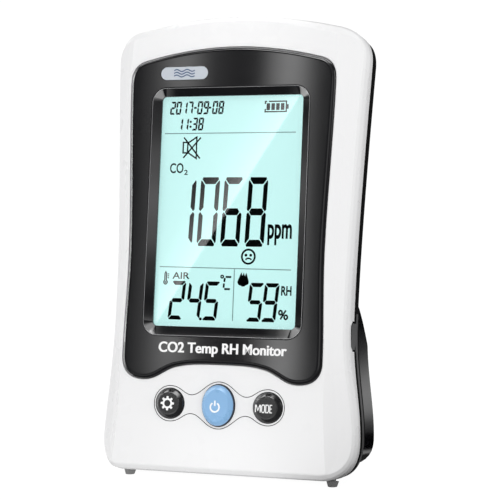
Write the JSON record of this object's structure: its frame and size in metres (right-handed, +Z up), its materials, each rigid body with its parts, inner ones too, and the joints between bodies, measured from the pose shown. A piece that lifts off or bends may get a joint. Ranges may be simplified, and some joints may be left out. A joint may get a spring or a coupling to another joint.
{
  "type": "carbon dioxide monitor",
  "caption": "Desk carbon dioxide monitor: a white case that leans back on rubber feet, with a tall segment display in a glossy black bezel, push buttons and a black rear pod.",
  "frame": {"origin": "middle of the overall bounding box, at desk level, under the soles of the feet", "axes": "+X to the viewer's right, +Y from the display towards the back, +Z up; the case leans back by 7 degrees about X"},
  "size_m": [0.1098, 0.0582, 0.1923],
  "materials": {
    "white_abs": "white moulded ABS with a satin gloss",
    "gloss_black_abs": "polished black",
    "dark_abs": "dark grey, glossy",
    "blue_button_plastic": "light blue, satin",
    "clear_acrylic": "clear, polished",
    "display_glass": "pale cyan liquid-crystal sandwich",
    "diffuser_acrylic": "milky light guide",
    "natural_plastic": "undyed nylon",
    "board_laminate": "green solder resist over glass fibre",
    "chip_epoxy": "black moulded epoxy",
    "gilt_metal": "gold-coloured sensor chamber",
    "plated_steel": "bright zinc or nickel plate",
    "filter_membrane": "white dust membrane",
    "battery_sleeve": "shrink sleeve round a lithium cell",
    "grey_rubber": "matt grey",
    "flex_laminate": "amber polyimide",
    "red_wire": "red insulation",
    "black_wire": "black insulation",
    "badge_foil": "satin silver foil"
  },
  "bodies": {
    "case": {"battery": "battery_sleeve", "battery_connector": "natural_plastic", "battery_contact": "plated_steel", "battery_holder": "chip_epoxy", "battery_spring": "plated_steel", "battery_wire_black": "black_wire", "battery_wire_red": "red_wire", "bezel": "gloss_black_abs", "board_screw_1": "plated_steel", "board_screw_2": "plated_steel", "board_screw_3": "plated_steel", "board_screw_4": "plated_steel", "button_plate": "white_abs", "buzzer": "chip_epoxy", "charging_port": "plated_steel", "co2_sensor": "gilt_metal", "co2_sensor_filter": "filter_membrane", "display_window": "clear_acrylic", "front_badge": "badge_foil", "front_foot_left": "grey_rubber", "front_foot_right": "grey_rubber", "front_housing": "white_abs", "housing_screw_1": "plated_steel", "housing_screw_2": "plated_steel", "housing_screw_3": "plated_steel", "housing_screw_4": "plated_steel", "humidity_sensor": "chip_epoxy", "lcd_backlight": "diffuser_acrylic", "lcd_flex_cable": "flex_laminate", "lcd_holder": "natural_plastic", "lcd_panel": "display_glass", "main_board": "board_laminate", "microcontroller": "chip_epoxy", "mode_switch": "plated_steel", "pod_cover": "gloss_black_abs", "pod_screw_1": "plated_steel", "pod_screw_2": "plated_steel", "power_switch": "plated_steel", "rear_foot_left": "grey_rubber", "rear_foot_right": "grey_rubber", "rear_housing": "dark_abs", "settings_switch": "plated_steel", "vent_mesh": "filter_membrane"},
    "settings_cap": {"settings_button": "dark_abs", "settings_plunger": "chip_epoxy"},
    "power_cap": {"power_button": "blue_button_plastic", "power_plunger": "chip_epoxy"},
    "mode_cap": {"mode_button": "dark_abs", "mode_plunger": "chip_epoxy"}
  },
  "joints": [
    {"name": "settings_press", "type": "slide", "parent": "case", "child": "settings_cap", "axis": [0, 0.9925, -0.1219], "range_m": [0, 0.0008], "stiffness_N_per_m": 200},
    {"name": "power_press", "type": "slide", "parent": "case", "child": "power_cap", "axis": [0, 0.9925, -0.1219], "range_m": [0, 0.0008], "stiffness_N_per_m": 200},
    {"name": "mode_press", "type": "slide", "parent": "case", "child": "mode_cap", "axis": [0, 0.9925, -0.1219], "range_m": [0, 0.0008], "stiffness_N_per_m": 200}
  ]
}
